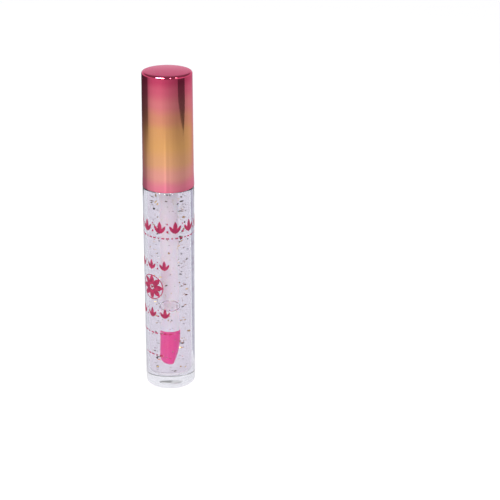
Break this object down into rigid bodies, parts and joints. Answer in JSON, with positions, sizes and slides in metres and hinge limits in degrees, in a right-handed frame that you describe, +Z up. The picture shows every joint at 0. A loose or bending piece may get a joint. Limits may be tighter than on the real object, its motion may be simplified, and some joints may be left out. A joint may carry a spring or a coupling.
{
  "type": "lip gloss tube",
  "caption": "Slim round clear lip gloss bottle with a threaded neck and wiper, closed by a lacquered metal screw cap that carries a doe-foot wand.",
  "frame": {"origin": "centre of the bottle's base, on the surface the closed tube stands on", "axes": "+Z up along the tube's axis, from the base to the top of the cap; +X to the right and +Y away from the viewer in front"},
  "size_m": [0.0178, 0.0178, 0.1142],
  "materials": {
    "clear_bottle": "clear, thick-walled, polished",
    "gloss": "clear gel with gold flakes and small bubbles",
    "wiper_plastic": "translucent magenta, soft",
    "cap_lacquer": "drawn aluminium under a metallic lacquer, pink to gold to pink",
    "inner_plastic": "white moulded plastic",
    "washer_foam": "white, soft",
    "stem_plastic": "pale pinkish white, moulded",
    "tip_flock": "pink flock, wetted with gloss"
  },
  "bodies": {
    "bottle_body": {"bottle": "clear_bottle", "wiper": "wiper_plastic"},
    "gloss_body": {"gloss_fill": "gloss"},
    "washer_body": {"sealing_washer": "washer_foam"},
    "cap_body": {"overcap": "cap_lacquer", "inner_cap": "inner_plastic", "wand_stem": "stem_plastic", "applicator_tip": "tip_flock"}
  },
  "joints": [
    {"name": "cap_unscrew", "type": "hinge", "parent": "bottle_body", "child": "gloss_body", "pos_m": [0, 0, 0.0788], "axis": [0, 0, 1], "range_deg": [0, 540]},
    {"name": "wand_pull", "type": "slide", "parent": "gloss_body", "child": "washer_body", "axis": [0, 0, 1], "range_m": [0, 0.09]},
    {"name": "cap_rise", "type": "slide", "parent": "washer_body", "child": "cap_body", "axis": [0, 0, 1], "range_m": [0, 0.00375]}
  ],
  "couplings": [
    {"joint": "cap_rise", "follows": "cap_unscrew", "m_per_rad": 0.00039789}
  ]
}
